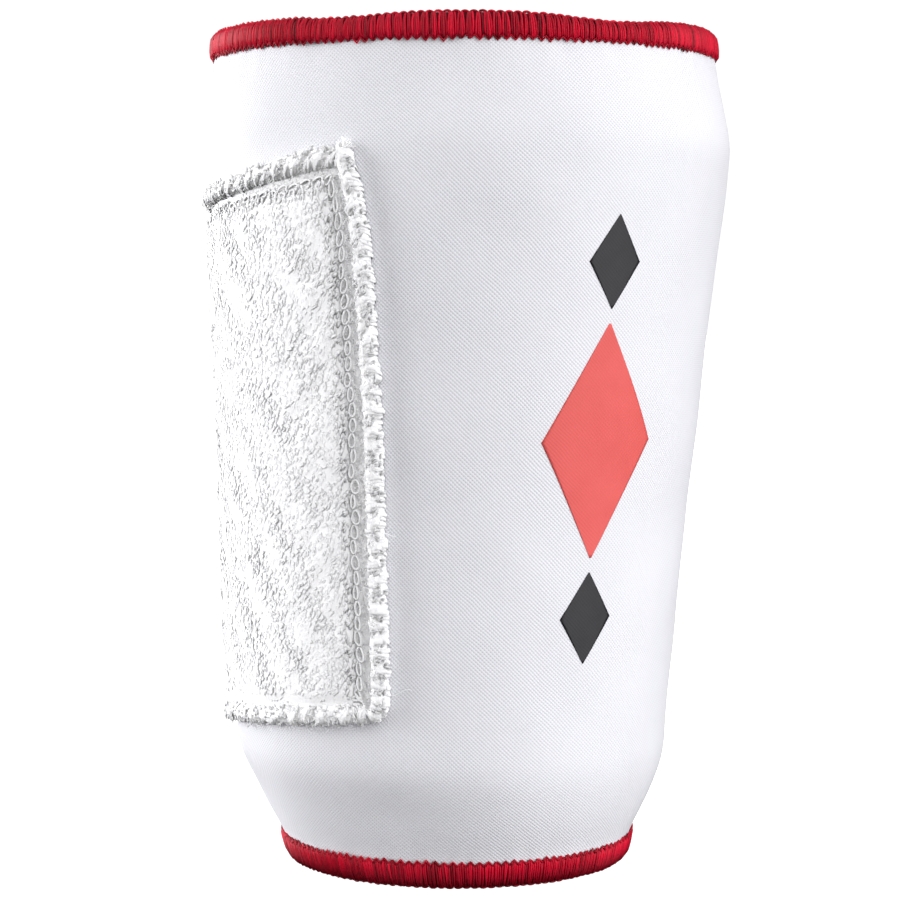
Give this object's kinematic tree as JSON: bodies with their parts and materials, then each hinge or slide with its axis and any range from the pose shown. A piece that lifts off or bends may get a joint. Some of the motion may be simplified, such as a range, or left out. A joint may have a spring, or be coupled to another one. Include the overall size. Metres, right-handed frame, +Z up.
{
  "type": "cricket arm guard",
  "caption": "Tapered padded arm sleeve with overlocked rims, a raised towelling patch on one side and a printed column of lozenges on the other; it stands on its narrow cuff.",
  "frame": {"origin": "middle of the guard's footprint box, on the surface that it stands on", "axes": "+Z up along the arm from the narrow cuff to the wide elbow end, -Y the front, between the towelling patch and the print, and +X the side of the print"},
  "size_m": [0.1154, 0.1008, 0.18],
  "materials": {
    "knit_white": "fine matt jersey knit over foam",
    "lining_white": "plain matt brushed lining",
    "thread_red": "slightly shiny overlock thread",
    "towelling_white": "looped terry pile",
    "print_coral": "satin transfer print",
    "print_black": "satin transfer print"
  },
  "bodies": {
    "root": {"sleeve": "knit_white", "guard_pad": "lining_white", "top_edging": "thread_red", "bottom_edging": "thread_red", "towel_patch": "towelling_white", "patch_hem": "towelling_white", "print_centre": "print_coral", "print_upper": "print_black", "print_lower": "print_black"}
  },
  "joints": []
}
